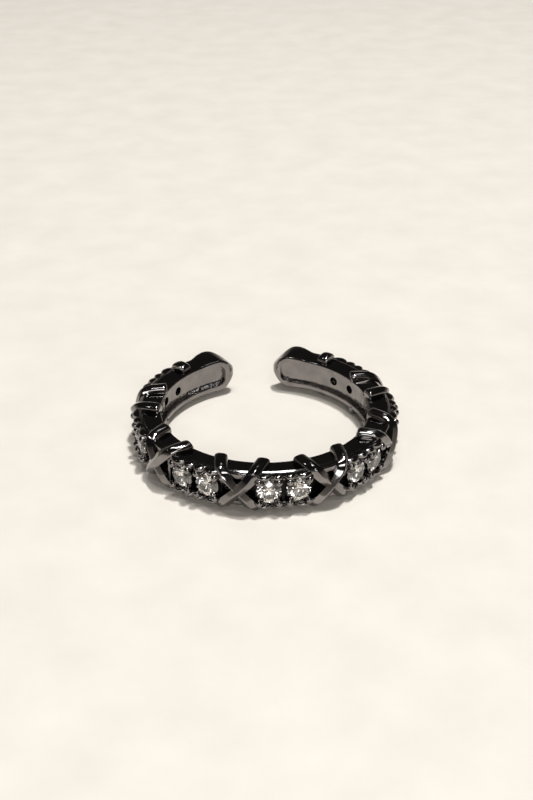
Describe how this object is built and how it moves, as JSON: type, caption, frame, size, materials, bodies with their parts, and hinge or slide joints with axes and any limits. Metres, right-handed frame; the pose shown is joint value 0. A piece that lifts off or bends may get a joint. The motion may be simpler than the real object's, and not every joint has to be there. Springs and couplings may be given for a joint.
{
  "type": "open stacking ring",
  "caption": "Slim open cuff ring in black-plated metal, set with pairs of round clear stones between criss-cross wraps, ending in two smooth rounded tips.",
  "frame": {"origin": "middle of the ring's footprint, on the surface it lies on", "axes": "+Z along the finger axis, up from the surface; +Y towards the gap between the two tips; +X to the right seen from opposite the gap"},
  "size_m": [0.0218, 0.0212, 0.0039],
  "materials": {
    "black_metal": "polished",
    "clear_stone": "gloss"
  },
  "bodies": {
    "root": {"band": "black_metal", "stone_01": "clear_stone", "stone_02": "clear_stone", "stone_03": "clear_stone", "stone_04": "clear_stone", "stone_05": "clear_stone", "stone_06": "clear_stone", "stone_07": "clear_stone", "stone_08": "clear_stone", "stone_09": "clear_stone", "stone_10": "clear_stone", "stone_11": "clear_stone", "stone_12": "clear_stone", "stone_13": "clear_stone", "stone_14": "clear_stone"}
  },
  "joints": []
}
